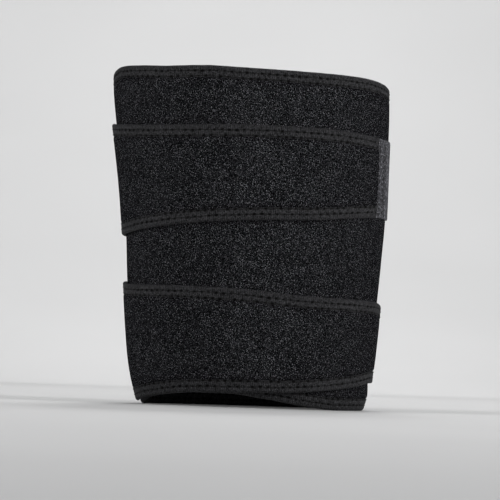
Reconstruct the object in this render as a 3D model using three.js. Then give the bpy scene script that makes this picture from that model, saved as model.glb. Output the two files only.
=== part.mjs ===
// A wrap-round thigh support: a padded loop-cloth panel rolled into a tapered oval tube, with two straps round it.
// Millimetres, +Z up, the front towards -Y. Angles run from the back (0) by the wearer's seam side (90, towards -X)
// to the front (180) and the other side (270, towards +X).
import * as THREE from "three";

// Overall sizes of the tube, measured on the outside of one ply
const wrapHeight = 246;
const topWidth = 206;
const topDepth = 173;

// Cloth
const panelThickness = 4;
const strapThickness = 3.2;
const tapeThickness = 0.8;
const tapeWidth = 9;
const tabThickness = 1.2;
const clearance = 0.3;
const shoulder = 0.6;

// The panel's two ends, which overlap at the back
const panelInnerEnd = -18;
const panelOuterEnd = 369;
const climbStart = 306;
const climbLength = 32;

// Straps: where each is sewn on and its width there, where its tip lies, and how far it runs from the rim or hem
const strapRoot = 0;
const stepDownLength = 27;
const upperStrapTip = 242.5;
const upperStrapRootWidth = 86;
const rimToUpperStrap = 40;
const lowerStrapTip = 279;
const lowerStrapRootWidth = 88;
const hemToLowerStrap = 2;
const tabLength = 42;
const tabInset = 0.5;

// The turn is cut into equal facets, so that every ply bends at the same angles; cornerGap is in degrees
const fullTurn = 360;
const facetsPerTurn = 40;
const cornerGap = 1;
const onCorner = 1e-6;
const panelRows = 12;
const strapRows = 6;

// Rounding of the folded tape, as shares of half its thickness
const foldDepth = 0.45;
const foldFlat = 0.55;
const foldInside = 0.6;

// Sections of the tube: height as a share of wrapHeight, width and sideways place as shares of topWidth
const sections = [
  { height: -0.02, width: 0.8, centre: 0.0277 },
  { height: 0.0, width: 0.808, centre: 0.0277 },
  { height: 0.045, width: 0.835, centre: 0.027 },
  { height: 0.095, width: 0.85, centre: 0.02 },
  { height: 0.165, width: 0.872, centre: 0.0172 },
  { height: 0.366, width: 0.9146, centre: 0.015 },
  { height: 0.516, width: 0.935, centre: 0.016 },
  { height: 0.65, width: 0.958, centre: 0.0107 },
  { height: 0.85, width: 0.995, centre: -0.0058 },
  { height: 1.0, width: 1.0087, centre: -0.0146 },
  { height: 1.02, width: 1.0087, centre: -0.0146 },
];

// Lower edge of the panel: the lift of its hem as a share of wrapHeight, with an arch at the front
const hem = [
  { angle: -30, lift: 0 },
  { angle: 92, lift: 0 },
  { angle: 104, lift: 0.012 },
  { angle: 117, lift: 0.024 },
  { angle: 135, lift: 0.035 },
  { angle: 153, lift: 0.041 },
  { angle: 166, lift: 0.041 },
  { angle: 186, lift: 0.028 },
  { angle: 198, lift: 0.017 },
  { angle: 211, lift: 0.007 },
  { angle: 228, lift: 0 },
  { angle: 400, lift: 0 },
];

// Upper edge of the panel: its drop below wrapHeight as a share of it, less than zero where it stands higher
const rim = [
  { angle: -30, drop: 0.008 },
  { angle: 60, drop: 0.008 },
  { angle: 92, drop: -0.002 },
  { angle: 112, drop: -0.013 },
  { angle: 126, drop: -0.009 },
  { angle: 146, drop: -0.0025 },
  { angle: 160, drop: -0.003 },
  { angle: 178, drop: 0.0028 },
  { angle: 204, drop: 0.0065 },
  { angle: 236, drop: 0.007 },
  { angle: 252, drop: 0.012 },
  { angle: 265, drop: 0.018 },
  { angle: 400, drop: 0.018 },
];

// Run of each strap: how far along it the row lies, its width and the drop of its top edge as shares of its root width
const upperStrapRun = [
  { along: 0, width: 1, drop: -0.04 },
  { along: 0.3, width: 0.98, drop: -0.035 },
  { along: 0.38, width: 0.966, drop: -0.03 },
  { along: 0.45, width: 0.928, drop: -0.002 },
  { along: 0.6, width: 0.835, drop: 0.03 },
  { along: 0.75, width: 0.795, drop: 0.024 },
  { along: 0.86, width: 0.772, drop: 0.024 },
  { along: 0.955, width: 0.715, drop: 0.04 },
  { along: 1, width: 0.69, drop: 0.05 },
];
const lowerStrapRun = [
  { along: 0, width: 1, drop: -0.03 },
  { along: 0.25, width: 1, drop: -0.02 },
  { along: 0.33, width: 1.005, drop: -0.006 },
  { along: 0.37, width: 0.968, drop: 0.016 },
  { along: 0.53, width: 0.875, drop: 0.032 },
  { along: 0.63, width: 0.845, drop: 0.05 },
  { along: 0.72, width: 0.8, drop: 0.086 },
  { along: 0.84, width: 0.735, drop: 0.097 },
  { along: 0.92, width: 0.68, drop: 0.11 },
  { along: 1, width: 0.64, drop: 0.15 },
];

// Derived sizes
const upperStrapTopEdge = wrapHeight - rimToUpperStrap;
const lowerStrapTopEdge = hemToLowerStrap + lowerStrapRootWidth;
const facet = fullTurn / facetsPerTurn;
const fold = tapeThickness + clearance;
const plyStep = panelThickness + clearance;
const radians = Math.PI / 180;

// A smooth curve through a table: the value of one named column where another column reaches "at".
function readTable(table, key, column, at) {
  const last = table.length - 1;
  let row = 0;
  while (row < last - 1 && table[row + 1][key] < at) row += 1;
  const [low, high] = [table[row], table[row + 1]];
  const span = high[key] - low[key];
  const share = THREE.MathUtils.clamp((at - low[key]) / span, 0, 1);
  const slope = (index) => {
    const before = table[Math.max(index - 1, 0)];
    const after = table[Math.min(index + 1, last)];
    const [into, out] = [table[index][column] - before[column], after[column] - table[index][column]];
    return into * out <= 0 ? 0 : (after[column] - before[column]) / (after[key] - before[key]);
  };
  const [start, end] = [slope(row) * span, slope(row + 1) * span];
  const rise = high[column] - low[column];
  return (
    low[column] + share * (start + share * (3 * rise - 2 * start - end + share * (start + end - 2 * rise)))
  );
}

const hemHeight = (angle) => wrapHeight * readTable(hem, "angle", "lift", angle);
const rimHeight = (angle) => wrapHeight * (1 - readTable(rim, "angle", "drop", angle));

// A point of the oval at a facet's corner: "proud" is its distance outside the first ply's outer face.
function onOval(angle, height, proud) {
  const share = height / wrapHeight;
  const width = readTable(sections, "height", "width", share);
  const halfWidth = (topWidth / 2) * width;
  const halfDepth = (topDepth / 2) * width;
  const centre = topWidth * readTable(sections, "height", "centre", share);
  const [across, ahead] = [-Math.sin(angle * radians), Math.cos(angle * radians)];
  const normal = new THREE.Vector2(across / halfWidth, ahead / halfDepth).normalize();
  return new THREE.Vector3(
    centre + halfWidth * across + proud * normal.x,
    halfDepth * ahead + proud * normal.y,
    height,
  );
}

// The degrees of turn that a length of the outline takes up.
function turnOf(length, angle, height) {
  const width = readTable(sections, "height", "width", height / wrapHeight);
  const rate = Math.hypot(
    (topWidth / 2) * width * Math.cos(angle * radians),
    (topDepth / 2) * width * Math.sin(angle * radians),
  );
  return length / (rate * radians);
}

// The same anywhere along the turn, on the flat between two facet corners, moved "shift" millimetres further round.
function onFacet(angle, height, proud, shift = 0) {
  const turned = (angle + turnOf(shift, angle, height)) / facet;
  const corner = Math.floor(turned + onCorner);
  const low = onOval(corner * facet, height, proud);
  return low.lerp(onOval((corner + 1) * facet, height, proud), Math.max(turned - corner, 0));
}

// How far the panel's outer face stands off the first ply: it climbs over its own inner end near the back.
const panelProud = (angle) => plyStep * THREE.MathUtils.smoothstep(angle, climbStart, climbStart + climbLength);

// How far a strap's inner face stands off: sewn on the panel's outer end, stepping down past it, and climbing again.
function strapProud(angle) {
  const pastEnd = panelOuterEnd - fullTurn;
  const stepDown = 1 - THREE.MathUtils.smoothstep(angle, pastEnd, pastEnd + stepDownLength);
  return clearance + plyStep * stepDown + panelProud(angle);
}

// Facet corners strictly between two angles, leaving out those within "margin" degrees of either.
function cornersBetween(start, end, margin) {
  const corners = [];
  for (let n = Math.ceil(start / facet); n * facet < end - margin; n += 1) {
    if (n * facet > start + margin) corners.push({ angle: n * facet, shift: 0 });
  }
  return corners;
}

// A closed solid from a sheet of stations; each station is a list of { outer, inner } points across the sheet.
function sheetSolid(stations) {
  const across = stations[0].length;
  const positions = [];
  for (const station of stations) {
    for (const { outer, inner } of station) positions.push(...outer.toArray(), ...inner.toArray());
  }
  const outerAt = (i, j) => 2 * (i * across + j);
  const innerAt = (i, j) => outerAt(i, j) + 1;
  const indices = [];
  const quad = (a, b, c, d) => indices.push(a, c, b, a, d, c);
  const lastStation = stations.length - 1;
  for (let i = 0; i < lastStation; i += 1) {
    for (let j = 0; j < across - 1; j += 1) {
      quad(outerAt(i, j), outerAt(i, j + 1), outerAt(i + 1, j + 1), outerAt(i + 1, j));
      quad(innerAt(i, j), innerAt(i + 1, j), innerAt(i + 1, j + 1), innerAt(i, j + 1));
    }
    quad(outerAt(i, 0), outerAt(i + 1, 0), innerAt(i + 1, 0), innerAt(i, 0));
    const edge = across - 1;
    quad(outerAt(i, edge), innerAt(i, edge), innerAt(i + 1, edge), outerAt(i + 1, edge));
  }
  for (let j = 0; j < across - 1; j += 1) {
    quad(outerAt(0, j), innerAt(0, j), innerAt(0, j + 1), outerAt(0, j + 1));
    quad(
      outerAt(lastStation, j),
      outerAt(lastStation, j + 1),
      innerAt(lastStation, j + 1),
      innerAt(lastStation, j),
    );
  }
  const geometry = new THREE.BufferGeometry();
  geometry.setAttribute("position", new THREE.Float32BufferAttribute(positions, 3));
  geometry.setIndex(indices);
  geometry.computeVertexNormals();
  return geometry;
}

// Padded cloth between a lower and an upper edge, thinned to a tongue where its bound edges go into the tape.
function paddedSheet({ start, end, lower, upper, rows, thickness, outerProud, boundEnds }) {
  const pinch = tapeThickness + clearance;
  const edgeStations = (angle, sense) =>
    boundEnds
      ? [0, tapeWidth + clearance, tapeWidth + clearance + shoulder].map((shift, n) => ({
          angle,
          shift: sense * shift,
          thin: n < 2,
        }))
      : [{ angle, shift: 0, thin: false }];
  const tapedTurn = turnOf(tapeWidth + clearance + shoulder, start, lower(start));
  const margin = boundEnds ? cornerGap + tapedTurn : cornerGap;
  const plan = [
    ...edgeStations(start, 1),
    ...cornersBetween(start, end, margin),
    ...edgeStations(end, -1).reverse(),
  ];
  return sheetSolid(
    plan.map(({ angle, shift, thin = false }) => {
      const [bottom, top] = [lower(angle), upper(angle)];
      const [low, high] = [bottom + tapeWidth + clearance, top - tapeWidth - clearance];
      const levels = [
        { height: bottom + fold, thin: true },
        { height: low, thin: true },
      ];
      for (let n = 0; n <= rows; n += 1) {
        const span = high - low - 2 * shoulder;
        levels.push({ height: low + shoulder + (span * n) / rows, thin: false });
      }
      levels.push({ height: high, thin: true }, { height: top - fold, thin: true });
      return levels.map(({ height, thin: thinLevel }) => {
        const sunk = thin || thinLevel ? pinch : 0;
        const proud = outerProud(angle);
        return {
          outer: onFacet(angle, height, proud - sunk, shift),
          inner: onFacet(angle, height, proud - thickness + sunk, shift),
        };
      });
    }),
  );
}

// The tape's folded section: depth from the bound edge, outer and inner, and the side of the cloth it lies on.
function foldedTape(thickness) {
  const half = thickness / 2;
  const inside = half - tapeThickness;
  const flat = half * foldFlat;
  const round = half * foldDepth;
  const tight = inside * foldInside;
  return [
    { depth: tapeWidth, outerSide: half, innerDepth: tapeWidth, innerSide: inside },
    { depth: round, outerSide: half, innerDepth: tapeThickness, innerSide: inside },
    { depth: 0, outerSide: flat, innerDepth: tapeThickness, innerSide: tight },
    { depth: 0, outerSide: -flat, innerDepth: tapeThickness, innerSide: -tight },
    { depth: round, outerSide: -half, innerDepth: tapeThickness, innerSide: -inside },
    { depth: tapeWidth, outerSide: -half, innerDepth: tapeWidth, innerSide: -inside },
  ];
}

// Tape folded over a long edge; "inward" is +1 where the cloth lies above the edge and -1 where it lies below.
function edgeBinding({ start, end, edge, inward, thickness, outerProud, overrun }) {
  const plan = [
    { angle: start, shift: -overrun },
    ...cornersBetween(start, end, cornerGap),
    { angle: end, shift: overrun },
  ];
  const section = foldedTape(thickness);
  if (inward > 0) section.reverse();
  return sheetSolid(
    plan.map(({ angle, shift }) => {
      const middle = outerProud(angle) - thickness / 2;
      return section.map(({ depth, outerSide, innerDepth, innerSide }) => ({
        outer: onFacet(angle, edge(angle) + inward * depth, middle + outerSide, shift),
        inner: onFacet(angle, edge(angle) + inward * innerDepth, middle + innerSide, shift),
      }));
    }),
  );
}

// Tape folded over one end of the panel, between the tapes of its long edges.
function endBinding({ angle, inward, thickness, outerProud }) {
  const low = hemHeight(angle) + tapeWidth + clearance;
  const high = rimHeight(angle) - tapeWidth - clearance;
  const section = foldedTape(thickness);
  if (inward < 0) section.reverse();
  const middle = outerProud(angle) - thickness / 2;
  return sheetSolid(
    Array.from({ length: panelRows + 1 }, (_, n) => {
      const height = low + ((high - low) * n) / panelRows;
      return section.map(({ depth, outerSide, innerDepth, innerSide }) => ({
        outer: onFacet(angle, height, middle + outerSide, inward * depth - inward * fold),
        inner: onFacet(angle, height, middle + innerSide, inward * innerDepth - inward * fold),
      }));
    }),
  );
}

// One strap's edges as functions of the angle, from its own root width, top edge and run.
function strapEdges({ tip, rootWidth, topEdge, run }) {
  const along = (angle) => (angle - strapRoot) / (tip - strapRoot);
  const upper = (angle) => topEdge - rootWidth * readTable(run, "along", "drop", along(angle));
  const lower = (angle) => upper(angle) - rootWidth * readTable(run, "along", "width", along(angle));
  return { upper, lower };
}

// The woven hook tab: a thin plain strip that carries on from the strap's tip, flat on the panel.
function hookTab({ tip, upper, lower }) {
  const [low, high] = [lower(tip) + tabInset, upper(tip) - tabInset];
  const end = tip + turnOf(clearance + tabLength, tip, (low + high) / 2);
  const plan = [
    { angle: tip, shift: clearance },
    ...cornersBetween(tip, end, cornerGap),
    { angle: end, shift: 0 },
  ];
  return sheetSolid(
    plan.map(({ angle, shift }) =>
      Array.from({ length: strapRows + 1 }, (_, n) => {
        const height = low + ((high - low) * n) / strapRows;
        const proud = panelProud(angle) + clearance;
        return {
          outer: onFacet(angle, height, proud + tabThickness, shift),
          inner: onFacet(angle, height, proud, shift),
        };
      }),
    ),
  );
}

const loopCloth = () => new THREE.MeshStandardMaterial({ color: 0x1c1c1f, roughness: 0.95, metalness: 0 });
const tapeCloth = () => new THREE.MeshStandardMaterial({ color: 0x26262a, roughness: 0.85, metalness: 0 });
const tabCloth = () => new THREE.MeshStandardMaterial({ color: 0x434348, roughness: 0.8, metalness: 0 });

const support = new THREE.Group();
function addPiece(name, geometry, material) {
  const mesh = new THREE.Mesh(geometry, material);
  mesh.name = name;
  support.add(mesh);
}

// The panel and its four tapes
const panelSpan = { start: panelInnerEnd, end: panelOuterEnd, thickness: panelThickness, outerProud: panelProud };
addPiece(
  "panel",
  paddedSheet({ ...panelSpan, lower: hemHeight, upper: rimHeight, rows: panelRows, boundEnds: true }),
  loopCloth(),
);
addPiece(
  "panel_top_binding",
  edgeBinding({ ...panelSpan, edge: rimHeight, inward: -1, overrun: fold }),
  tapeCloth(),
);
addPiece(
  "panel_bottom_binding",
  edgeBinding({ ...panelSpan, edge: hemHeight, inward: 1, overrun: fold }),
  tapeCloth(),
);
const ends = [
  { name: "panel_inner_end_binding", angle: panelInnerEnd, inward: 1 },
  { name: "panel_outer_end_binding", angle: panelOuterEnd, inward: -1 },
];
for (const { name, angle, inward } of ends) {
  addPiece(
    name,
    endBinding({ angle, inward, thickness: panelThickness, outerProud: panelProud }),
    tapeCloth(),
  );
}

// The two straps, each with two tapes and a hook tab
const straps = [
  {
    name: "upper_strap",
    tip: upperStrapTip,
    rootWidth: upperStrapRootWidth,
    topEdge: upperStrapTopEdge,
    run: upperStrapRun,
  },
  {
    name: "lower_strap",
    tip: lowerStrapTip,
    rootWidth: lowerStrapRootWidth,
    topEdge: lowerStrapTopEdge,
    run: lowerStrapRun,
  },
];
for (const strap of straps) {
  const { upper, lower } = strapEdges(strap);
  const span = {
    start: strapRoot,
    end: strap.tip,
    thickness: strapThickness,
    outerProud: (angle) => strapProud(angle) + strapThickness,
  };
  addPiece(strap.name, paddedSheet({ ...span, lower, upper, rows: strapRows, boundEnds: false }), loopCloth());
  addPiece(
    `${strap.name}_top_binding`,
    edgeBinding({ ...span, edge: upper, inward: -1, overrun: 0 }),
    tapeCloth(),
  );
  addPiece(
    `${strap.name}_bottom_binding`,
    edgeBinding({ ...span, edge: lower, inward: 1, overrun: 0 }),
    tapeCloth(),
  );
  addPiece(`${strap.name}_end_tab`, hookTab({ tip: strap.tip, upper, lower }), tabCloth());
}

// The origin is at the middle of the outline, on the surface that the support stands on
const box = new THREE.Box3().setFromObject(support);
const middle = box.getCenter(new THREE.Vector3());
support.position.set(-middle.x, -middle.y, -box.min.z);

export default support;
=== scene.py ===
# %% [markdown]
# # A wrap-round thigh support
#
# The support is a wide padded panel that is rolled into a tapered oval tube, and two straps that lie
# round it. Every cloth edge is bound in knit tape, held by two rows of stitches.
#
# We start from the imported frame. It fixes where each piece lies, and our work is to give the pieces
# their real surfaces.

# %% Load the frame
import math

import bpy
from mathutils import Matrix, Vector, noise


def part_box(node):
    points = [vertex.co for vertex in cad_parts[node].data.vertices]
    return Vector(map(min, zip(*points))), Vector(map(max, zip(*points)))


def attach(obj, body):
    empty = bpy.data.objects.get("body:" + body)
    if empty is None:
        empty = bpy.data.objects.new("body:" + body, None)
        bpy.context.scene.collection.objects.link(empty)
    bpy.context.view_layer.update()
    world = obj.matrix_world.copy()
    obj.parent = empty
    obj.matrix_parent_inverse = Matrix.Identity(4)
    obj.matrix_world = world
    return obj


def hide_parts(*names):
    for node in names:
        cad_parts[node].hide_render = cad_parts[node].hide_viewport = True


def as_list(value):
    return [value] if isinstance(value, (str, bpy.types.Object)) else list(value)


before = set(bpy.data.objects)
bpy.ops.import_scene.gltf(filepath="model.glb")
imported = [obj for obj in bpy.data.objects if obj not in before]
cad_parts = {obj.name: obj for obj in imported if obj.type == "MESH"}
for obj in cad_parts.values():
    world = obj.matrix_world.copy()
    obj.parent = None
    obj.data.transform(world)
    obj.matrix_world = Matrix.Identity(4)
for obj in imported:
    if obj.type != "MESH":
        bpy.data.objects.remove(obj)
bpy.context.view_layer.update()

# %% [markdown]
# ## Sizes
#
# Blender works in metres, and a sewn thing is easier to think of in millimetres, so each size is a
# count of millimetres times MM. The tables give the form of the tube: its width at each height, the
# arch of its hem, and how each strap narrows towards its tip. The frame was made from the same values.

# %% Driving sizes
MM = 0.001
WRAP_HEIGHT = 246 * MM
TOP_WIDTH = 206 * MM
TOP_DEPTH = 173 * MM
PANEL_THICKNESS = 4 * MM
STRAP_THICKNESS = 3.2 * MM
TAPE_THICKNESS = 0.8 * MM
TAPE_WIDTH = 9 * MM
TAB_THICKNESS = 1.2 * MM
CLEARANCE = 0.3 * MM

PANEL_INNER_END = -18
PANEL_OUTER_END = 369
CLIMB_START = 306
CLIMB_LENGTH = 32
STRAP_ROOT = 0
STEP_DOWN_LENGTH = 27
TAB_LENGTH = 42 * MM
TAB_INSET = 0.5 * MM

RIM_TO_UPPER_STRAP = 40 * MM
HEM_TO_LOWER_STRAP = 2 * MM
UPPER_STRAP = {"tip": 242.5, "root_width": 86 * MM}
LOWER_STRAP = {"tip": 279, "root_width": 88 * MM}
UPPER_STRAP["top_edge"] = WRAP_HEIGHT - RIM_TO_UPPER_STRAP
LOWER_STRAP["top_edge"] = HEM_TO_LOWER_STRAP + LOWER_STRAP["root_width"]

# %% Tables of the form
SECTIONS = [
    {"height": -0.02, "width": 0.8, "centre": 0.0277},
    {"height": 0.0, "width": 0.808, "centre": 0.0277},
    {"height": 0.045, "width": 0.835, "centre": 0.027},
    {"height": 0.095, "width": 0.85, "centre": 0.02},
    {"height": 0.165, "width": 0.872, "centre": 0.0172},
    {"height": 0.366, "width": 0.9146, "centre": 0.015},
    {"height": 0.516, "width": 0.935, "centre": 0.016},
    {"height": 0.65, "width": 0.958, "centre": 0.0107},
    {"height": 0.85, "width": 0.995, "centre": -0.0058},
    {"height": 1.0, "width": 1.0087, "centre": -0.0146},
    {"height": 1.02, "width": 1.0087, "centre": -0.0146},
]
HEM = [
    {"angle": -30, "lift": 0},
    {"angle": 92, "lift": 0},
    {"angle": 104, "lift": 0.012},
    {"angle": 117, "lift": 0.024},
    {"angle": 135, "lift": 0.035},
    {"angle": 153, "lift": 0.041},
    {"angle": 166, "lift": 0.041},
    {"angle": 186, "lift": 0.028},
    {"angle": 198, "lift": 0.017},
    {"angle": 211, "lift": 0.007},
    {"angle": 228, "lift": 0},
    {"angle": 400, "lift": 0},
]
RIM = [
    {"angle": -30, "drop": 0.008},
    {"angle": 60, "drop": 0.008},
    {"angle": 92, "drop": -0.002},
    {"angle": 112, "drop": -0.013},
    {"angle": 126, "drop": -0.009},
    {"angle": 146, "drop": -0.0025},
    {"angle": 160, "drop": -0.003},
    {"angle": 178, "drop": 0.0028},
    {"angle": 204, "drop": 0.0065},
    {"angle": 236, "drop": 0.007},
    {"angle": 252, "drop": 0.012},
    {"angle": 265, "drop": 0.018},
    {"angle": 400, "drop": 0.018},
]
UPPER_STRAP["run"] = [
    {"along": 0, "width": 1, "drop": -0.04},
    {"along": 0.3, "width": 0.98, "drop": -0.035},
    {"along": 0.38, "width": 0.966, "drop": -0.03},
    {"along": 0.45, "width": 0.928, "drop": -0.002},
    {"along": 0.6, "width": 0.835, "drop": 0.03},
    {"along": 0.75, "width": 0.795, "drop": 0.024},
    {"along": 0.86, "width": 0.772, "drop": 0.024},
    {"along": 0.955, "width": 0.715, "drop": 0.04},
    {"along": 1, "width": 0.69, "drop": 0.05},
]
LOWER_STRAP["run"] = [
    {"along": 0, "width": 1, "drop": -0.03},
    {"along": 0.25, "width": 1, "drop": -0.02},
    {"along": 0.33, "width": 1.005, "drop": -0.006},
    {"along": 0.37, "width": 0.968, "drop": 0.016},
    {"along": 0.53, "width": 0.875, "drop": 0.032},
    {"along": 0.63, "width": 0.845, "drop": 0.05},
    {"along": 0.72, "width": 0.8, "drop": 0.086},
    {"along": 0.84, "width": 0.735, "drop": 0.097},
    {"along": 0.92, "width": 0.68, "drop": 0.11},
    {"along": 1, "width": 0.64, "drop": 0.15},
]

# %% [markdown]
# ## The shape of the tube
#
# Every layer of the wrap follows one oval. A point is named by its angle round the tube, its height
# and how far it stands proud of the first ply. With one function for that, cloth, tape and thread all
# fit each other by themselves, which would be hard to reach by moving separate meshes together.

# %% Read a table as a smooth curve
def read_table(table, key, column, at):
    """The value of one column where another column reaches a given value, on a smooth curve."""
    last = len(table) - 1
    row = 0
    while row < last - 1 and table[row + 1][key] < at:
        row += 1
    span = table[row + 1][key] - table[row][key]
    share = min(max((at - table[row][key]) / span, 0), 1)

    def slope(index):
        before, after = table[max(index - 1, 0)], table[min(index + 1, last)]
        into = table[index][column] - before[column]
        out = after[column] - table[index][column]
        if into * out <= 0:
            return 0
        return (after[column] - before[column]) / (after[key] - before[key])

    start, end = slope(row) * span, slope(row + 1) * span
    rise = table[row + 1][column] - table[row][column]
    curve = 3 * rise - 2 * start - end + share * (start + end - 2 * rise)
    return table[row][column] + share * (start + share * curve)


def smooth_step(value, start, length):
    """0 before start, 1 after start + length, and an easy curve between."""
    share = min(max((value - start) / length, 0), 1)
    return share * share * (3 - 2 * share)


# %% The oval and its plies
RIPPLE_HEIGHT = 0.55 * MM
RIPPLE_LENGTH = 55 * MM
ORIGIN = Vector((0, 0, 0))


def hem_height(angle):
    return WRAP_HEIGHT * read_table(HEM, "angle", "lift", angle)


def rim_height(angle):
    return WRAP_HEIGHT * (1 - read_table(RIM, "angle", "drop", angle))


def oval_at(height):
    """The tube's half width, half depth and sideways place at a height."""
    share = height / WRAP_HEIGHT
    width = read_table(SECTIONS, "height", "width", share)
    centre = TOP_WIDTH * read_table(SECTIONS, "height", "centre", share)
    return TOP_WIDTH / 2 * width, TOP_DEPTH / 2 * width, centre


def tube_point(angle, height, proud):
    """A point of the row frame from its angle, its height and its distance outside the first ply."""
    half_width, half_depth, centre = oval_at(height)
    across, ahead = -math.sin(math.radians(angle)), math.cos(math.radians(angle))
    normal = Vector((across / half_width, ahead / half_depth, 0)).normalized()
    surface = Vector((centre + half_width * across, half_depth * ahead, height))
    ripple = RIPPLE_HEIGHT * noise.noise(surface / RIPPLE_LENGTH)
    return ORIGIN + surface + normal * (proud + ripple)


def turn_rate(angle, height):
    """Metres of outline for each degree of turn."""
    half_width, half_depth, _ = oval_at(height)
    turned = math.radians(angle)
    return math.radians(math.hypot(half_width * math.cos(turned), half_depth * math.sin(turned)))


PLY_STEP = PANEL_THICKNESS + CLEARANCE


def panel_proud(angle):
    """The panel's outer face: it climbs over its own inner end near the back."""
    return PLY_STEP * smooth_step(angle, CLIMB_START, CLIMB_LENGTH)


def strap_inner(angle):
    """A strap's inner face: sewn on the panel's outer end, then stepping down on to the first ply."""
    step_down = 1 - smooth_step(angle, PANEL_OUTER_END - 360, STEP_DOWN_LENGTH)
    return CLEARANCE + PLY_STEP * step_down + panel_proud(angle)


def strap_proud(angle):
    return strap_inner(angle) + STRAP_THICKNESS


# %% Line the tube up with the frame
panel_low, panel_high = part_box("panel")
LEVEL_COUNT = 400
LEVELS = [WRAP_HEIGHT * n / LEVEL_COUNT for n in range(LEVEL_COUNT)]
sides = [tube_point(angle, height, 0).x for angle in (90, 270) for height in LEVELS]
back = max(tube_point(360, height, PLY_STEP).y for height in LEVELS)
front = min(tube_point(180, height, 0).y for height in LEVELS)
ORIGIN = Vector(
    (
        (panel_low.x + panel_high.x - min(sides) - max(sides)) / 2,
        (panel_low.y + panel_high.y - front - back) / 2,
        0,
    )
)
print("the tube moves by", [round(1000 * v, 2) for v in ORIGIN], "mm to meet the frame")

# %% [markdown]
# ## Edges as runs
#
# Stitches are a fixed distance apart along an edge, and an edge turns more quickly at the sides of the
# oval than at its front. So each edge is measured as a line once, and then gives the angle that lies
# any distance along it.

# %% Measure an edge
RUN_STEP = 0.5


class EdgeRun:
    """A long edge of cloth round the tube: its height and outer face by angle, and its length."""

    def __init__(self, start, end, height, proud, thickness, inward):
        self.start, self.end = start, end
        self.height, self.proud = height, proud
        self.thickness, self.inward = thickness, inward
        count = math.ceil((end - start) / RUN_STEP)
        self.angles = [start + (end - start) * n / count for n in range(count + 1)]
        points = [tube_point(angle, height(angle), proud(angle)) for angle in self.angles]
        self.lengths = [0]
        for before, after in zip(points, points[1:]):
            self.lengths.append(self.lengths[-1] + (after - before).length)
        self.length = self.lengths[-1]

    def angle_at(self, distance):
        """The angle that lies this far along the edge."""
        share = min(max(distance / self.length, 0), 1)
        low, high = 0, len(self.lengths) - 1
        while high - low > 1:
            middle = (low + high) // 2
            if self.lengths[middle] < share * self.length:
                low = middle
            else:
                high = middle
        part = (share * self.length - self.lengths[low]) / (self.lengths[high] - self.lengths[low])
        return self.angles[low] + part * (self.angles[high] - self.angles[low])

    def surface(self, distance, depth, lift):
        """A point at a distance along the edge and a depth in from it, lifted off the outer face."""
        angle = self.angle_at(distance)
        return tube_point(angle, self.height(angle) + self.inward * depth, self.proud(angle) + lift)


# %% [markdown]
# ## Shader maths as Python
#
# A fabric needs a fair amount of arithmetic between its textures. Math nodes placed one by one are hard
# to read, so a small class wraps an output and turns Python's operators into those nodes.

# %% A socket that can be added and multiplied
class Value:
    """An output of a node, with the operators that add Math nodes."""

    def __init__(self, shader, output):
        self.shader, self.output = shader, output

    def maths(self, operation, left, right):
        return self.shader.node("ShaderNodeMath", {"operation": operation}, {0: left, 1: right})

    def __add__(self, other):
        return self.maths("ADD", self, other)

    def __sub__(self, other):
        return self.maths("SUBTRACT", self, other)

    def __rsub__(self, other):
        return self.maths("SUBTRACT", other, self)

    def __mul__(self, other):
        return self.maths("MULTIPLY", self, other)

    def __pow__(self, other):
        return self.maths("POWER", self, other)

    def __truediv__(self, other):
        return self.maths("DIVIDE", self, other)

    def twin(self, name):
        """Another output of the same node."""
        return Value(self.shader, self.output.node.outputs[name])

    __radd__ = __add__
    __rmul__ = __mul__


FIBRE_BEND = 0.7
FIBRE_CORE = 0.45


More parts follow.
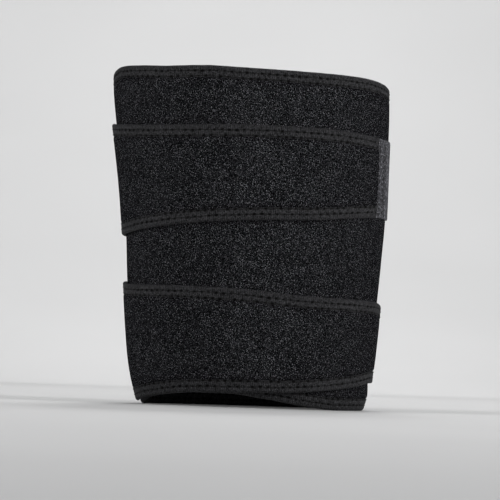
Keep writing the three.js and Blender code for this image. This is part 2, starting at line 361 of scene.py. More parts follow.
class Shader:
    """A material whose nodes all come from one method."""

    def __init__(self, name, roughness, specular, edge=1.0):
        self.material = bpy.data.materials.new(name)
        self.material.use_nodes = True
        self.nodes, self.links = self.material.node_tree.nodes, self.material.node_tree.links
        self.surface = self.nodes["Principled BSDF"]
        self.surface.inputs["Roughness"].default_value = roughness
        self.surface.inputs["Specular IOR Level"].default_value = specular
        self.surface.inputs["Specular Tint"].default_value = grey(edge)

    def join(self, socket, value):
        if isinstance(value, Value):
            self.links.new(value.output, socket)
        else:
            socket.default_value = value

    def node(self, kind, settings=None, inputs=None, output=0):
        """Adds a node, sets it up, joins its inputs and gives one of its outputs."""
        made = self.nodes.new(kind)
        for name, value in (settings or {}).items():
            setattr(made, name, value)
        for key, value in (inputs or {}).items():
            self.join(made.inputs[key], value)
        return Value(self, made.outputs[output])

    def noise(self, vector, scale, detail=2.0):
        inputs = {"Vector": vector, "Scale": scale, "Detail": detail}
        return self.node("ShaderNodeTexNoise", inputs=inputs, output="Fac")

    def split(self, vector):
        """The three parts of a vector or colour."""
        first = self.node("ShaderNodeSeparateXYZ", inputs={0: vector}, output=0)
        return first, first.twin("Y"), first.twin("Z")

    def wave(self, value, length):
        """A sine wave along a value, from -1 to 1."""
        return self.node("ShaderNodeMath", {"operation": "SINE"}, {0: value * (math.tau / length)})

    def curls(self, flat, spacing, length, width):
        """Short bent fibres strewn over a flat pattern, one in each cell, and a random number for each."""
        inputs = {"Vector": flat, "Scale": 1 / spacing}
        centre = self.node("ShaderNodeTexVoronoi", {"voronoi_dimensions": "2D"}, inputs, output="Position")
        luck, side, shine = self.split(centre.twin("Color"))
        offset = self.node("ShaderNodeVectorMath", {"operation": "SUBTRACT"}, {0: flat, 1: centre})
        settings = {"rotation_type": "Z_AXIS"}
        turned = self.node("ShaderNodeVectorRotate", settings, {"Vector": offset, "Angle": luck * math.tau})
        along, across, _ = self.split(turned)
        along = along / length
        across = across / width + along * along * (side * 2 - 1) * (FIBRE_BEND * length / width)
        return self.ramp(along * along + across * across, 1, FIBRE_CORE), shine

    def ramp(self, value, low, high):
        """0 where the value is at or under low, 1 at or over high."""
        return self.node("ShaderNodeMapRange", inputs={"Value": value, "From Min": low, "From Max": high})

    def mix(self, factor, first, second):
        """One colour over another."""
        settings = {"data_type": "RGBA"}
        return self.node("ShaderNodeMix", settings, {0: factor, 6: first, 7: second}, output=2)

    def bump(self, height, distance, strength):
        inputs = {"Height": height, "Distance": distance, "Strength": strength}
        return self.node("ShaderNodeBump", inputs=inputs)

    def finish(self, color, normal=None):
        self.join(self.surface.inputs["Base Color"], color)
        if normal:
            self.join(self.surface.inputs["Normal"], normal)
        return self.material


def grey(level, blue=1.0):
    """A grey that leans a little to blue, as an opaque colour."""
    return (level, level, level * blue, 1)


# %% [markdown]
# ## The cloths
#
# The outer face is brushed loop cloth: a mat of fine curly fibres for the hook tabs to grip. Most of
# it is near black, and single loops catch the light. A picture of real cloth would give this at once,
# but only at one size and place. A cell pattern gives it everywhere: each cell holds one bent stroke
# with a direction and a shine of its own, and strokes of two sizes lie over a dark mat of noise. The
# strokes are painted glints in a lighter base colour, and the same mask makes them partly metallic,
# so they also reflect the lamps.

# %% Loop cloth
def loop_cloth():
    shader = Shader("loop_cloth", roughness=0.5, specular=0.0, edge=0.1)
    flat = shader.node("ShaderNodeUVMap", {"uv_map": "Flat"})
    place = shader.node("ShaderNodeTexCoord", output="Object")
    fine, fine_shine = shader.curls(flat, spacing=0.58 * MM, length=0.32 * MM, width=0.1 * MM)
    long, long_shine = shader.curls(flat, spacing=1.0 * MM, length=0.46 * MM, width=0.13 * MM)
    mat = shader.noise(place, 1100, detail=2)
    # Random patches where the painted glints of the strokes are brighter.
    glint_patches = shader.ramp(shader.noise(place, 40, detail=3), 0.3, 0.7)
    dark = shader.mix(mat, grey(0.0005), grey(0.004, 1.25))
    # Painted glints: the strokes lighten the base colour, and the same mask makes them metallic so they also
    # reflect the lamps.
    fine_light = fine * fine_shine**2 * (0.75 + glint_patches * 0.5)
    long_light = long * long_shine**4
    pile = shader.mix(fine_light, dark, grey(0.17, 1.08))
    pile = shader.mix(long_light, pile, grey(0.5, 1.08))
    shader.join(shader.surface.inputs["Metallic"], fine_light + long_light)
    relief = mat * 0.5 + fine * 0.6 + long * long_shine
    return shader.finish(pile, shader.bump(relief, 0.3 * MM, 0.6))


# %% [markdown]
# The lining and the tape are knitted, so waves across the flat cloth give their rows and ribs, with
# fuzz over them. The tab is a close weave of stiff fibres, with painted shade in the hollows between
# them. Where the stitches draw a cloth in, the mesh carries that as an attribute, and the cloth's
# colour is darkened there as painted shade, as in a hole.

# %% Lining, knit tape, thread and woven tab
def lining_cloth():
    shader = Shader("lining_cloth", roughness=0.85, specular=0.04)
    flat = shader.node("ShaderNodeUVMap", {"uv_map": "Flat"})
    place = shader.node("ShaderNodeTexCoord", output="Object")
    along, up, _ = shader.split(flat)
    fuzz = shader.noise(place, 900, detail=2)
    knit = shader.wave(up, 1.1 * MM) * 0.2 + shader.wave(along, 1.4 * MM) * 0.1 + fuzz
    color = shader.mix(shader.ramp(knit, 0.2, 0.9), grey(0.01), grey(0.045, 1.05))
    return shader.finish(color, shader.bump(knit, 0.2 * MM, 0.5))


def knit_tape():
    shader = Shader("knit_tape", roughness=0.7, specular=0.08)
    flat = shader.node("ShaderNodeUVMap", {"uv_map": "Flat"})
    place = shader.node("ShaderNodeTexCoord", output="Object")
    dent = shader.node("ShaderNodeAttribute", {"attribute_name": "dent"}, output="Fac")
    along, across, _ = shader.split(flat)
    ribs = shader.wave(along, 1.6 * MM)
    courses = shader.wave(across + ribs * (0.12 * MM), 0.8 * MM)
    fuzz = shader.noise(place, 700, detail=3)
    loose, loose_shine = shader.curls(flat, spacing=0.9 * MM, length=0.5 * MM, width=0.16 * MM)
    knit = ribs * 0.12 + courses * 0.1 + fuzz * 1.6 - 0.3
    color = shader.mix(shader.ramp(knit, 0.2, 0.85), grey(0.004, 1.06), grey(0.045, 1.06))
    color = shader.mix(loose * loose_shine**3, color, grey(0.13, 1.07))
    # Painted shade: the tape goes near black in the needle holes and grooves that the stitches draw in.
    sewn = shader.mix(shader.ramp(dent, 0.15, 0.58), color, grey(0.001))
    return shader.finish(sewn, shader.bump(knit, 0.3 * MM, 0.6))


def thread(name, low, high):
    shader = Shader(name, roughness=0.75, specular=0.1)
    place = shader.node("ShaderNodeTexCoord", output="Object")
    twist = shader.noise(place, 1500, detail=1)
    color = shader.mix(twist, grey(low), grey(high))
    return shader.finish(color, shader.bump(twist, 0.1 * MM, 0.5))


def hook_tab():
    shader = Shader("hook_tab", roughness=0.7, specular=0.15)
    flat = shader.node("ShaderNodeUVMap", {"uv_map": "Flat"})
    place = shader.node("ShaderNodeTexCoord", output="Object")
    dent = shader.node("ShaderNodeAttribute", {"attribute_name": "dent"}, output="Fac")
    along, across, _ = shader.split(flat)
    twill = shader.wave(across + along, 2 * MM)
    fuzz = shader.noise(place, 420, detail=2)
    fibre, fibre_shine = shader.curls(flat, spacing=1.7 * MM, length=1.3 * MM, width=0.45 * MM)
    pit_shade, pit_shade_chance = shader.curls(flat, spacing=1.5 * MM, length=1.1 * MM, width=0.5 * MM)
    cloth = twill * 0.3 + fuzz * 3 - 1
    color = shader.mix(shader.ramp(cloth, 0, 1), grey(0.012, 1.12), grey(0.078, 1.12))
    # Painted shade: dark strokes in the hollows between the woven fibres.
    color = shader.mix(pit_shade * shader.ramp(pit_shade_chance, 0.3, 0.6), color, grey(0.004, 1.1))
    color = shader.mix(fibre * fibre_shine**2, color, grey(0.3, 1.1))
    # Painted shade: the tab goes near black where the zigzag stitches draw it in.
    color = shader.mix(dent, color, grey(0.003))
    return shader.finish(color, shader.bump(cloth, 0.3 * MM, 0.6))


LOOP, LINING, TAPE, TAB = loop_cloth(), lining_cloth(), knit_tape(), hook_tab()
THREAD, TAB_THREAD = thread("thread", 0.002, 0.022), thread("tab_thread", 0.01, 0.09)
print("cloths:", [material.name for material in (LOOP, LINING, TAPE, TAB, THREAD, TAB_THREAD)])

# %% [markdown]
# ## A sheet with two faces
#
# Each cloth piece is a sheet with an outer and an inner face. A plane with a Solidify modifier would do
# for cloth of one thickness, but here the edges are squeezed flat inside their tape, so both faces are
# laid out point by point and joined round the border. The flat pattern is kept as a UV map.

# %% Build a sheet from pairs of points
def sheet_piece(name, stations, flat, face, reverse=None, dents=None):
    """A closed cloth piece; each station is a list of (outer, inner) points across the sheet."""
    count, across = len(stations), len(stations[0])
    points = [point for station in stations for pair in station for point in pair]

    def at(i, j, side):
        return 2 * (i * across + j) + side

    faces, backs, borders = [], [], []
    for i in range(count - 1):
        for j in range(across - 1):
            faces.append((at(i, j, 0), at(i + 1, j, 0), at(i + 1, j + 1, 0), at(i, j + 1, 0)))
            backs.append((at(i, j, 1), at(i, j + 1, 1), at(i + 1, j + 1, 1), at(i + 1, j, 1)))
        borders.append((at(i, 0, 0), at(i, 0, 1), at(i + 1, 0, 1), at(i + 1, 0, 0)))
        end = across - 1
        borders.append((at(i, end, 0), at(i + 1, end, 0), at(i + 1, end, 1), at(i, end, 1)))
    for j in range(across - 1):
        last = count - 1
        borders.append((at(0, j, 0), at(0, j + 1, 0), at(0, j + 1, 1), at(0, j, 1)))
        borders.append((at(last, j, 0), at(last, j, 1), at(last, j + 1, 1), at(last, j + 1, 0)))
    mesh = bpy.data.meshes.new(name)
    mesh.from_pydata(points, [], faces + backs + borders)
    mesh.materials.append(face)
    mesh.materials.append(reverse or face)
    marks = [0] * len(faces) + [1] * len(backs) + [0] * len(borders)
    mesh.polygons.foreach_set("material_index", marks)
    mesh.polygons.foreach_set("use_smooth", [True] * len(marks))
    pattern = mesh.uv_layers.new(name="Flat")
    for loop in mesh.loops:
        pattern.data[loop.index].uv = flat[loop.vertex_index // 2]
    if dents:
        drawn_in = mesh.attributes.new("dent", "FLOAT", "POINT")
        drawn_in.data.foreach_set("value", [dent for dent in dents for _ in range(2)])
    mesh.update()
    piece = bpy.data.objects.new(name, mesh)
    bpy.context.scene.collection.objects.link(piece)
    print(f"{name}: {len(marks)} faces")
    return piece


# %% [markdown]
# ## The padded cloth
#
# Foam laminate keeps its thickness over most of its face and is pinched thin where the tape grips it.
# Just inside the tape it swells back, and each stitch draws it down a little, which is what makes a
# sewn edge look soft. The rows of points crowd together there and are wide apart in the middle.

# %% Lay out a padded sheet
STITCH_PITCH = 5.5 * MM
SWELL_WIDTH = 5 * MM
SWELL_HEIGHT = 0.25 * MM
PUCKER = 0.22 * MM
PINCH = TAPE_THICKNESS + CLEARANCE
EDGE_DEPTHS = [1.2, 5.0, 7.6, 8.6, 9.3, 10.0, 11.0, 12.3, 14.0, 16.0, 18.5]
EDGE_ZONE = EDGE_DEPTHS[-1] * MM
ROW_SPACING = 2.6 * MM
COLUMN_SPACING = STITCH_PITCH / 3
RISE_UNDER_TAPE = 0.8 * MM
RISE_LENGTH = 0.6 * SWELL_WIDTH
SWELL_PLACE = TAPE_WIDTH + 0.7 * SWELL_WIDTH
SWELL_REACH = TAPE_WIDTH + 3 * SWELL_WIDTH
ROOT_ROWS = (5 * MM, 10 * MM)
ROOT_ROW_WIDTH = 1.6 * MM
ROOT_DRAW = 0.4 * MM
ROOT_ROUNDING = 1.0 * MM
ROOT_ROUNDING_LENGTH = 2 * MM


def hill(offset, width):
    """A smooth hill of height 1 over an offset of 0."""
    return math.exp(-((offset / width) ** 2))


def sink(depth, distance):
    """How far the cloth's face lies below its full height, near a bound edge."""
    if depth > SWELL_REACH:
        return 0
    rise = smooth_step(depth, TAPE_WIDTH - RISE_UNDER_TAPE, RISE_LENGTH)
    swell = SWELL_HEIGHT * hill(depth - SWELL_PLACE, SWELL_WIDTH)
    fold = PUCKER * hill(depth - TAPE_WIDTH, SWELL_WIDTH)
    return PINCH * (1 - rise) - swell + fold * (0.5 + 0.5 * math.cos(math.tau * distance / STITCH_PITCH))


def root_seam(along):
    """How far a strap is drawn in by the rows that sew its root to the panel, and rounded at its end."""
    rows = sum(hill(along - row, ROOT_ROW_WIDTH) for row in ROOT_ROWS)
    return ROOT_DRAW * rows + ROOT_ROUNDING * max(1 - along / ROOT_ROUNDING_LENGTH, 0) ** 2


def row_depths(width):
    """Depths of the rows of points across a sheet, crowded at both of its bound edges."""
    near = [depth * MM for depth in EDGE_DEPTHS]
    inside = width - 2 * EDGE_ZONE
    count = max(round(inside / ROW_SPACING), 1)
    middle = [EDGE_ZONE + inside * n / count for n in range(1, count)]
    return near + middle + [width - depth for depth in reversed(near)]


def rise_at(depth, cut_width, width):
    """Where a row lies over the lower edge: as cut near both edges, spread evenly between them."""
    if depth <= EDGE_ZONE:
        return depth
    if cut_width - depth <= EDGE_ZONE:
        return width - (cut_width - depth)
    return EDGE_ZONE + (depth - EDGE_ZONE) / (cut_width - 2 * EDGE_ZONE) * (width - 2 * EDGE_ZONE)


def padded_cloth(name, lower, upper, thickness, bound_ends):
    """A cloth between a lower and an upper edge run, pinched where it is bound."""
    middle = (lower.start + lower.end) / 2
    cut_width = upper.height(middle) - lower.height(middle)
    depths = row_depths(cut_width)
    columns = round(upper.length / COLUMN_SPACING)
    stations, flat = [], []
    for n in range(columns + 1):
        along = upper.length * n / columns
        if bound_ends:
            along = min(max(along, PINCH), upper.length - PINCH)
        angle = upper.angle_at(along)
        low, high = lower.height(angle), upper.height(angle)
        from_end = min(along, upper.length - along) if bound_ends else cut_width
        seam = 0 if bound_ends else root_seam(along)
        station = []
        for depth in depths:
            rise = rise_at(depth, cut_width, high - low)
            sunk = max(sink(min(depth, cut_width - depth), along), sink(from_end, rise))
            outer = tube_point(angle, low + rise, upper.proud(angle) - max(sunk, seam))
            inner = tube_point(angle, low + rise, upper.proud(angle) - thickness + sunk)
            station.append((outer, inner))
            flat.append((along, rise))
        stations.append(station)
    return sheet_piece(name, stations, flat, LOOP, LINING)


# %% [markdown]
# ## The folded tape
#
# The tape is a strip of knit folded over the edge. Its section is a narrow U, and two rows of needle
# holes run along it. Each hole is a small dimple in the mesh, with the tape drawn down along the row.
# A bump texture could show the dimples, but real ones also give the edge its slightly uneven line.

# %% Sew a tape over an edge
ROW_DEPTHS = (4.1 * MM, 8.1 * MM)
HOLE_DEPTH = 0.45 * MM
HOLE_RADIUS = 0.8 * MM
HOLE_LENGTH = 1.3 * HOLE_RADIUS
SHALLOWEST_HOLE = 0.2
GROOVE_DEPTH = 0.15 * MM
LUCK = 1.3
ROW_WANDER = 0.3 * MM
STEPS_PER_STITCH = 6
LEG_DEPTHS = [9.0, 8.7, 8.1, 7.4, 6.5, 5.6, 4.8, 4.1, 3.4, 2.6, 1.9]
FOLD_TURNS = [12, 35, 60, 90, 120, 145, 168]
FOLD_ROUNDING = 1.1
SECTION_STEP = 0.8 * MM
TAPE_BODY = 0.8 * TAPE_THICKNESS
SEAT = 0.05 * MM
EDGE_WANDER = 0.12 * MM
WANDER_LENGTH = 9 * MM
END_ZONE = 0.1 * MM


def stitch_luck(stitch, band):
    """A random number for one stitch, from -1 to 1, as no two pull alike."""
    return noise.noise(Vector((stitch * 1.7, band, 0.5)))


def stitch_draw(distance, depth):
    """How far the stitches draw the tape in at one point."""
    drawn = 0
    for row, row_depth in enumerate(ROW_DEPTHS):
        place = distance / STITCH_PITCH + 0.5 * row
        luck = LUCK * stitch_luck(round(place), 9 * row + 0.5)
        groove = hill(depth - row_depth - ROW_WANDER * luck, HOLE_RADIUS)
        hole = groove * hill((place - round(place)) * STITCH_PITCH, HOLE_LENGTH)
        drawn += GROOVE_DEPTH * groove + HOLE_DEPTH * max(1 + luck, SHALLOWEST_HOLE) * hole
    return drawn


def tape_section(thickness):
    """The folded tape's section, as (depth, place, normal) from the outer leg round to the inner leg."""
    half = thickness / 2 - SEAT
    section = [(depth * MM, half, (0, 1)) for depth in LEG_DEPTHS]
    for turn in FOLD_TURNS:
        ahead, side = math.sin(math.radians(turn)), math.cos(math.radians(turn))
        section.append((half * FOLD_ROUNDING * (1 - ahead), half * side, (-ahead, side)))
    section += [(depth * MM, -half, (0, -1)) for depth in reversed(LEG_DEPTHS)]
    return section


def folded_tape(name, length, section, lay, start=0.0):
    """A tape along a length; lay turns a distance, a depth and a side of the middle into a point."""
    steps = round(length / STITCH_PITCH * STEPS_PER_STITCH)
    stations, flat, dents = [], [], []
    for n in range(steps + 1):
        distance = length * n / steps
        station = []
        for place, (depth, side, (ahead, aside)) in enumerate(section):
            drawn = stitch_draw(distance, depth) * abs(aside)
            faces = (drawn, drawn + TAPE_BODY)
            station.append(tuple(lay(distance, depth - ahead * face, side - aside * face) for face in faces))
            flat.append((start + distance, SECTION_STEP * place))
            dents.append(drawn / (HOLE_DEPTH + GROOVE_DEPTH))
        stations.append(station)
    return sheet_piece(name, stations, flat, TAPE, dents=dents)


def sewn_tape(name, run, overrun=0.0):
    """A tape folded over the whole of an edge run."""
    section = tape_section(run.thickness)
    if run.inward > 0:
        section.reverse()

    def lay(distance, depth, side):
        angle = run.angle_at(distance)
        spread = (distance > run.length - END_ZONE) - (distance < END_ZONE)
        angle += spread * overrun / turn_rate(angle, run.height(angle))
        wander = EDGE_WANDER * noise.noise(Vector((distance / WANDER_LENGTH, run.height(run.start), 0)))
        height = run.height(angle) + run.inward * (depth + wander)
        return tube_point(angle, height, run.proud(angle) - run.thickness / 2 + side)

    return folded_tape(name, run.length, section, lay)


# %% [markdown]
# ## The tapes of the panel's two ends
#
# These tapes run up and down instead of round, between the tapes of the long edges. The section and the
# stitches are the same, and only the way that they are laid on the tube changes.

# %% Sew a tape over an end
def end_heights(angle):
    """The span of an end that the tapes of the long edges leave free."""
    return hem_height(angle) + TAPE_WIDTH + CLEARANCE, rim_height(angle) - TAPE_WIDTH - CLEARANCE


def end_tape(name, angle, inward):
    """The same folded tape over one upright end of the panel."""
    low, high = end_heights(angle)
    section = tape_section(PANEL_THICKNESS)
    if inward < 0:
        section.reverse()
    middle = panel_proud(angle) - PANEL_THICKNESS / 2

    def lay(distance, depth, side):
        height = low + distance
        turned = angle + inward * depth / turn_rate(angle, height)
        return tube_point(turned, height, middle + side)

    return folded_tape(name, high - low, section, lay, start=low)


# %% [markdown]
# ## The stitches
#
# One stitch is modelled once: a sphere stretched into a short length of thread whose ends dip into the
# needle holes. It is then laid along every row. Drawing thread as a curve with a bevel would also work,
# but thousands of curves are slow, and one small mesh that is bent on to the tube costs little.

# %% Model one stitch
THREAD_RADIUS = 0.3 * MM
THREAD_LIFT = 0.55
STITCH_LENGTH = 0.66 * STITCH_PITCH
END_DIP = 1.15
DIP_SHARPNESS = 4


def clear_selection():
    for chosen in list(bpy.context.selected_objects):
        chosen.select_set(False)


def model_stitch():
    """The points and faces of one stitch that lies along X, from -0.5 to 0.5, with unit thickness."""
    clear_selection()
    bpy.ops.mesh.primitive_uv_sphere_add(segments=8, ring_count=6, radius=1, rotation=(0, math.pi / 2, 0))
    ball = bpy.context.active_object
    bpy.ops.object.transform_apply(location=True, rotation=True, scale=True)
    points = [Vector((v.co.x * 0.5, v.co.y, v.co.z)) for v in ball.data.vertices]
    faces = [tuple(face.vertices) for face in ball.data.polygons]
    bpy.data.meshes.remove(ball.data)
    return points, faces


STITCH_POINTS, STITCH_FACES = model_stitch()
print("one stitch has", len(STITCH_FACES), "faces")


# %% Lay rows of stitches
def stitches_piece(name, stitches, material=THREAD):
    """One mesh of many stitches; each is a function from (along, across, up) to a point."""
    points, faces = [], []
    for lay in stitches:
        start = len(points)
        for p in STITCH_POINTS:
            dip = END_DIP * (2 * abs(p.x)) ** DIP_SHARPNESS
            points.append(lay(p.x, p.y * THREAD_RADIUS, (p.z + THREAD_LIFT - dip) * THREAD_RADIUS))
        faces += [tuple(start + corner for corner in face) for face in STITCH_FACES]
    mesh = bpy.data.meshes.new(name)
    mesh.from_pydata(points, [], faces)
    mesh.materials.append(material)
    mesh.polygons.foreach_set("use_smooth", [True] * len(faces))
    piece = bpy.data.objects.new(name, mesh)
    bpy.context.scene.collection.objects.link(piece)
    print(f"{name}: {len(stitches)} stitches")
    return piece


def row_stitches(run, sides):
    """The stitches of an edge run, on its outer face (1), its inner face (-1) or both."""
    laid = []
    for row, row_depth in enumerate(ROW_DEPTHS):
        count = int(run.length / STITCH_PITCH) - 1
        for n in range(count):
            centre = (n + 0.5 + 0.5 * row) * STITCH_PITCH
            for side in sides:
                laid.append(edge_stitch(run, centre, row_depth, side))
    return laid


def edge_stitch(run, centre, row_depth, side):
    drop = 0 if side > 0 else -run.thickness

    def lay(along, across, up):
        distance = centre + along * STITCH_LENGTH
        lift = drop + side * (up - GROOVE_DEPTH - SEAT)
        return run.surface(distance, row_depth + side * run.inward * across, lift)

    return lay


# %% Lay rows of stitches that run up and down
def upright_rows(angle, inward, heights, proud, depths, sides=(1,), thickness=0.0):
    """Rows of stitches at some depths in from an upright end, between two heights."""
    low, high = heights
    laid = []
    for row, depth in enumerate(depths):
        for n in range(int((high - low) / STITCH_PITCH) - 1):
            centre = low + (n + 1 + 0.5 * row) * STITCH_PITCH
            for side in sides:
                laid.append(upright_stitch(angle, inward * depth, centre, proud, side, thickness))
    return laid


def upright_stitch(angle, shift, centre, proud, side, thickness):
    drop = 0 if side > 0 else -thickness

    def lay(along, across, up):
        height = centre + along * STITCH_LENGTH
        turned = angle + (shift - side * across) / turn_rate(angle, height)
        return tube_point(turned, height, proud(angle) + drop + side * (up - GROOVE_DEPTH - SEAT))

    return lay


# %% [markdown]
# ## The panel
#
# The wide sheet comes first, because everything else lies on it. Its four edges are bound, and the
# stitches show on both faces, since one can look down into the tube.

# %% Make the panel
rim_run = EdgeRun(PANEL_INNER_END, PANEL_OUTER_END, rim_height, panel_proud, PANEL_THICKNESS, -1)
hem_run = EdgeRun(PANEL_INNER_END, PANEL_OUTER_END, hem_height, panel_proud, PANEL_THICKNESS, 1)
print("rim length", round(1000 * rim_run.length), "mm, hem length", round(1000 * hem_run.length), "mm")
panel = padded_cloth("panel_cloth", hem_run, rim_run, PANEL_THICKNESS, bound_ends=True)
panel_trim = [
    sewn_tape("panel_top_tape", rim_run, PINCH),
    sewn_tape("panel_bottom_tape", hem_run, PINCH),
    end_tape("panel_inner_end_tape", PANEL_INNER_END, 1),
    end_tape("panel_outer_end_tape", PANEL_OUTER_END, -1),
    stitches_piece("panel_top_stitches", row_stitches(rim_run, (1, -1))),
    stitches_piece("panel_bottom_stitches", row_stitches(hem_run, (1, -1))),
]
for name, angle, inward in (("inner", PANEL_INNER_END, 1), ("outer", PANEL_OUTER_END, -1)):
    laid = upright_rows(
        angle, inward, end_heights(angle), panel_proud, ROW_DEPTHS, (1, -1), PANEL_THICKNESS
    )
    panel_trim.append(stitches_piece(f"panel_{name}_end_stitches", laid))

# %% [markdown]
# ## The straps and their hook tabs
#
# A strap is the same padded cloth on a smaller scale. Its tip carries a woven tab whose hooks grip the
# loop cloth beneath, sewn across with two columns of zigzag stitches.

# %% Zigzag stitches of a tab
ZIGZAG_COLUMNS = (3.4 * MM, 14 * MM)
ZIGZAG_WIDTH = 4.4 * MM
ZIGZAG_THICKNESS = 0.7
ZIGZAG_PITCH = 4.2 * MM
ZIGZAG_HOLE = 0.95 * MM
ZIGZAG_DRAW = 0.3 * MM
TAB_COLUMNS = 84
TAB_ROWS = 120
TAB_SOFTNESS = 0.35 * MM
TAB_SOFT_LIMIT = 0.6 * MM
SOFT_COLUMNS = 2
SOFT_ROWS = 3


def zigzag_dent(off_column, height):
    """How far a zigzag column draws the tab in, at the needle holes on its two sides."""
    place = height / (ZIGZAG_PITCH / 2) - 1
    hole = round(place)
    off_hole = (place - hole) * ZIGZAG_PITCH / 2
    off_side = off_column - (-1) ** hole * ZIGZAG_WIDTH / 2
    chance = 1 + stitch_luck(hole, float(off_column > 0))
    return min(chance * hill(off_side, ZIGZAG_HOLE) * hill(off_hole, ZIGZAG_HOLE), 1)


def zigzag_stitch(tip, column, height, lean):
    """One slanting stitch of a column; lean says to which side its top goes."""

    def lay(along, across, up):
        high = height + along * ZIGZAG_PITCH / 2
        shift = column + lean * along * ZIGZAG_WIDTH + across * ZIGZAG_THICKNESS
        angle = tip + shift / turn_rate(tip, high)
        return tube_point(angle, high, panel_proud(angle) + CLEARANCE + TAB_THICKNESS + up)

    return lay


# %% Make the straps
def make_strap(name, strap):
    """A strap with its tapes, stitches and hook tab."""
    tip, run = strap["tip"], strap["run"]

    def upper_height(angle):
        along = (angle - STRAP_ROOT) / (tip - STRAP_ROOT)
        return strap["top_edge"] - strap["root_width"] * read_table(run, "along", "drop", along)

    def lower_height(angle):
        along = (angle - STRAP_ROOT) / (tip - STRAP_ROOT)
        return upper_height(angle) - strap["root_width"] * read_table(run, "along", "width", along)

    upper = EdgeRun(STRAP_ROOT, tip, upper_height, strap_proud, STRAP_THICKNESS, -1)
    lower = EdgeRun(STRAP_ROOT, tip, lower_height, strap_proud, STRAP_THICKNESS, 1)
    cloth = padded_cloth(f"{name}_cloth", lower, upper, STRAP_THICKNESS, bound_ends=False)
    low, high = lower_height(tip) + TAB_INSET, upper_height(tip) - TAB_INSET
    count = int((high - low) / (ZIGZAG_PITCH / 2)) - 2
    zigzags = []
    for column in ZIGZAG_COLUMNS:
        for n in range(count):
            zigzags.append(zigzag_stitch(tip, column, low + (n + 1.5) * ZIGZAG_PITCH / 2, (-1) ** n))
    trim = [
        sewn_tape(f"{name}_top_tape", upper),
        sewn_tape(f"{name}_bottom_tape", lower),
        stitches_piece(f"{name}_top_stitches", row_stitches(upper, (1,))),
        stitches_piece(f"{name}_bottom_stitches", row_stitches(lower, (1,))),
        woven_tab(f"{name}_hook_tab", tip, low, high),
        stitches_piece(f"{name}_tab_stitches", zigzags, TAB_THREAD),
    ]
    heights = lower_height(STRAP_ROOT) + TAPE_WIDTH, upper_height(STRAP_ROOT) - TAPE_WIDTH
    laid = upright_rows(STRAP_ROOT, 1, heights, strap_proud, ROOT_ROWS)
    trim.append(stitches_piece(f"{name}_root_stitches", laid))
    print(f"{name}: {1000 * upper.length:.0f} mm long, {1000 * (high - low):.0f} mm wide at its tip")
    return cloth, trim, upper.length


def woven_tab(name, tip, low, high):
    """The hook tab: a thin woven strip with soft edges, lying on the panel."""
    stations, flat, dents = [], [], []
    for i in range(TAB_COLUMNS + 1):
        shift = CLEARANCE + TAB_LENGTH * i / TAB_COLUMNS
        near_end = max(1 - min(i, TAB_COLUMNS - i) / SOFT_COLUMNS, 0)
        station = []
        for j in range(TAB_ROWS + 1):
            height = low + (high - low) * j / TAB_ROWS
            angle = tip + shift / turn_rate(tip, height)
            near_side = max(1 - min(j, TAB_ROWS - j) / SOFT_ROWS, 0)
            soft = min(TAB_SOFTNESS * (near_end**2 + near_side**2), TAB_SOFT_LIMIT)
            dent = max(zigzag_dent(shift - column, height - low) for column in ZIGZAG_COLUMNS)
            base = panel_proud(angle) + CLEARANCE
            face = base + TAB_THICKNESS - soft - ZIGZAG_DRAW * dent
            station.append((tube_point(angle, height, face), tube_point(angle, height, base)))
            flat.append((shift, height - low))
            dents.append(dent)
        stations.append(station)
    return sheet_piece(name, stations, flat, TAB, dents=dents)


upper_strap, upper_trim, upper_length = make_strap("upper_strap", UPPER_STRAP)
lower_strap, lower_trim, lower_length = make_strap("lower_strap", LOWER_STRAP)

# %% [markdown]
# ## Join the pieces to the frame
#
# Each piece rides on the part's one body, and the frame's solids that the pieces stand for are hidden.

# %% Ride and replace
for piece in panel_trim + upper_trim + lower_trim:
    "hook_tab" if "tab" in piece.name else "knit_tape"
for piece in [panel, upper_strap, lower_strap, *panel_trim, *upper_trim, *lower_trim]:
    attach(piece, "root")

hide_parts("panel")
for tape, node in zip(panel_trim, ("top", "bottom", "inner_end", "outer_end")):
    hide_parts(f"panel_{node}_binding")
for cloth, trim, name in ((upper_strap, upper_trim, "upper_strap"), (lower_strap, lower_trim, "lower_strap")):
    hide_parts(name)
    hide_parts(f"{name}_top_binding")
    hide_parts(f"{name}_bottom_binding")
    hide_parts(f"{name}_end_tab")

for cloth, trim, length, strap in (
    (upper_strap, upper_trim, upper_length, UPPER_STRAP),
    (lower_strap, lower_trim, lower_length, LOWER_STRAP),
):
    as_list(trim)

# %% [markdown]
# ## The studio
#
# The support stands on a pale floor that curves up into the backdrop, so there is no horizon. The floor
# is a plane whose back edge is extruded upwards, and the fold between the two is bevelled round.

# %% Floor and backdrop
FLOOR_SIZE = 10.0
SWEEP_HEIGHT = 4.0
SWEEP_RADIUS = 2.2
BACK_EDGE = 4.0
EDGE_TOUCH = 1 * MM


def studio_paint():
    shader = Shader("studio_paint", roughness=0.9, specular=0.1)
    place = shader.node("ShaderNodeTexCoord", output="Object")
    color = shader.mix(shader.noise(place, 3, detail=1), grey(0.60), grey(0.64))
    return shader.finish(color)


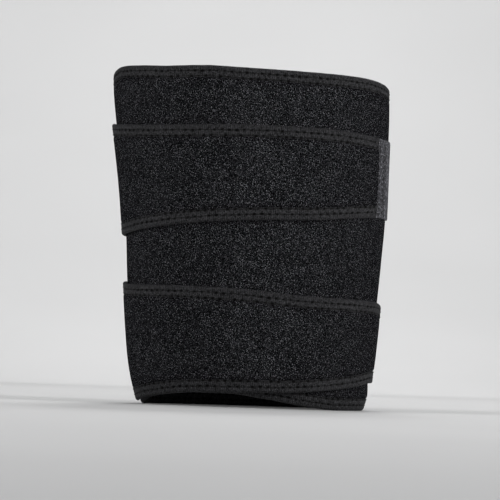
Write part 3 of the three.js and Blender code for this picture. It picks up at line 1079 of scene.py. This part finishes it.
clear_selection()
bpy.ops.mesh.primitive_plane_add(size=FLOOR_SIZE, location=(0, BACK_EDGE - FLOOR_SIZE / 2, 0))
floor = bpy.context.active_object
floor.name = "studio_sweep"
bpy.ops.object.transform_apply(location=True, rotation=True, scale=True)
bpy.ops.object.mode_set(mode="EDIT")
bpy.ops.mesh.select_mode(type="EDGE")
bpy.ops.mesh.select_all(action="DESELECT")
bpy.ops.object.mode_set(mode="OBJECT")
for edge in floor.data.edges:
    edge.select = all(floor.data.vertices[v].co.y > BACK_EDGE - EDGE_TOUCH for v in edge.vertices)
bpy.ops.object.mode_set(mode="EDIT")
bpy.ops.mesh.extrude_region_move(TRANSFORM_OT_translate={"value": (0, 0, SWEEP_HEIGHT)})
bpy.ops.mesh.select_all(action="DESELECT")
bpy.ops.object.mode_set(mode="OBJECT")
for edge in floor.data.edges:
    ends = [floor.data.vertices[v].co for v in edge.vertices]
    edge.select = all(end.y > BACK_EDGE - EDGE_TOUCH and end.z < EDGE_TOUCH for end in ends)
bpy.ops.object.mode_set(mode="EDIT")
bpy.ops.mesh.bevel(offset=SWEEP_RADIUS, offset_type="OFFSET", segments=32, affect="EDGES")
bpy.ops.mesh.select_all(action="SELECT")
bpy.ops.mesh.normals_make_consistent(inside=False)
bpy.ops.object.mode_set(mode="OBJECT")
bpy.ops.object.shade_smooth()
floor.data.materials.append(studio_paint())
print("studio sweep:", len(floor.data.polygons), "faces")

# %% [markdown]
# ## The lights
#
# The cloth is nearly black, so it needs strong lights at both sides, which rake over the fibres, and
# little from the front. A lamp behind gives the soft shadow at the foot, and one lights the backdrop.

# %% Lights
MIDDLE = (0, 0, WRAP_HEIGHT / 2)
LIGHTS = [
    {"name": "front", "place": (0.3, -2.4, 1.8), "target": MIDDLE, "size": 1.2, "watts": 7},
    {"name": "right", "place": (1.8, -0.8, 0.9), "target": MIDDLE, "size": 0.8, "watts": 26},
    {"name": "left", "place": (-1.7, -1.0, 1.1), "target": MIDDLE, "size": 0.8, "watts": 21},
    {"name": "top", "place": (0, 0.5, 2.3), "target": (0, 0, 0), "size": 0.8, "watts": 9},
    {"name": "back", "place": (0.2, 1.45, 1.55), "target": MIDDLE, "size": 0.6, "watts": 18},
    {"name": "backdrop", "place": (0, 1.45, 1.9), "target": (0, 2.95, 1.85), "size": 1.5, "watts": 58},
]
for row in LIGHTS:
    light = bpy.data.lights.new(row["name"], "AREA")
    light.energy, light.size = row["watts"], row["size"]
    lamp = bpy.data.objects.new(row["name"], light)
    lamp.location = row["place"]
    toward = Vector(row["target"]) - Vector(row["place"])
    lamp.rotation_euler = toward.to_track_quat("-Z", "Y").to_euler()
    bpy.context.scene.collection.objects.link(lamp)
print("lights:", [row["name"] for row in LIGHTS])

# %% Air and view
AIR_COLOR = (0.94, 0.95, 1, 1)
AIR_STRENGTH = 0.1
world = bpy.data.worlds.new("studio_air")
bpy.context.scene.world = world
world.use_nodes = True
world.node_tree.nodes["Background"].inputs["Color"].default_value = AIR_COLOR
world.node_tree.nodes["Background"].inputs["Strength"].default_value = AIR_STRENGTH
bpy.context.scene.view_settings.view_transform = "Standard"

# %% [markdown]
# ## The camera
#
# The photograph was taken from far away with a long lens, a little above the level of the hem, and the
# support leans a little clockwise in it. The lean is a turn of the camera about its own axis.

# %% Place the camera
FRAME_PIXELS = 500
MM_PER_PIXEL = 0.75
SENSOR = 36
EYE_DISTANCE = 2000 * MM
EYE_HEIGHT = 28 * MM
AIM_HEIGHT = 117.5 * MM
ROLL = math.radians(1.93)

eye = Vector((ORIGIN.x, ORIGIN.y - EYE_DISTANCE, EYE_HEIGHT))
aim = Vector((ORIGIN.x, ORIGIN.y, AIM_HEIGHT))
ahead = (aim - eye).normalized()
level = ahead.cross(Vector((0, 0, 1))).normalized()
upright = level.cross(ahead)
right = level * math.cos(ROLL) + upright * math.sin(ROLL)
up = upright * math.cos(ROLL) - level * math.sin(ROLL)
camera = bpy.data.objects.new("camera", bpy.data.cameras.new("camera"))
camera.data.sensor_width = SENSOR
camera.data.lens = SENSOR * EYE_DISTANCE / (FRAME_PIXELS * MM_PER_PIXEL * MM)
camera.matrix_world = Matrix.Translation(eye) @ Matrix((right, up, -ahead)).transposed().to_4x4()
bpy.context.scene.collection.objects.link(camera)
bpy.context.scene.camera = camera
print("lens", round(camera.data.lens), "mm")
